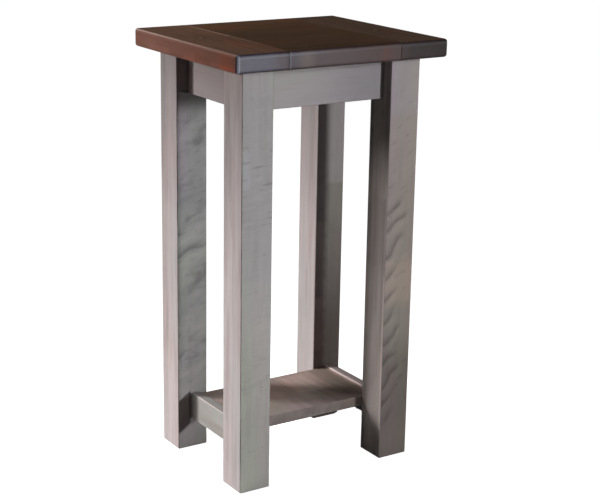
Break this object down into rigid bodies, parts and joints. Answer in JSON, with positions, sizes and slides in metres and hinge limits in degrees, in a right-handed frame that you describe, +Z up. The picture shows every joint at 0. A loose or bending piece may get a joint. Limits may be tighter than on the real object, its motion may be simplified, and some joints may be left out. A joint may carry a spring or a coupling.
{
  "type": "occasional table with shelf",
  "caption": "Small tall occasional table: dark stained top with breadboard ends, stout square grey-washed legs, plain aprons and a low shelf between side rails.",
  "frame": {"origin": "on the floor, midway between the legs", "axes": "+Z up, +X to the right along the front, -Y towards the front"},
  "size_m": [0.446, 0.377, 0.819],
  "materials": {
    "base_wood": "grey wash, matt",
    "top_wood": "dark walnut stain, satin",
    "inner_wood": "bare sawn wood",
    "screw_steel": "zinc plated"
  },
  "bodies": {
    "root": {"leg_front_left": "base_wood", "leg_front_right": "base_wood", "leg_back_right": "base_wood", "leg_back_left": "base_wood", "apron_front": "base_wood", "apron_right": "base_wood", "apron_back": "base_wood", "apron_left": "base_wood", "stretcher_left": "base_wood", "stretcher_right": "base_wood", "shelf_board": "base_wood", "plank_front": "top_wood", "plank_middle": "top_wood", "plank_back": "top_wood", "breadboard_left": "top_wood", "breadboard_right": "top_wood", "cleat_left": "inner_wood", "cleat_right": "inner_wood", "shelf_batten": "inner_wood", "breadboard_pegs": "inner_wood", "button_front_left": "inner_wood", "button_front_right": "inner_wood", "button_back_left": "inner_wood", "button_back_right": "inner_wood", "button_screws": "screw_steel", "shelf_screws": "screw_steel"}
  },
  "joints": []
}
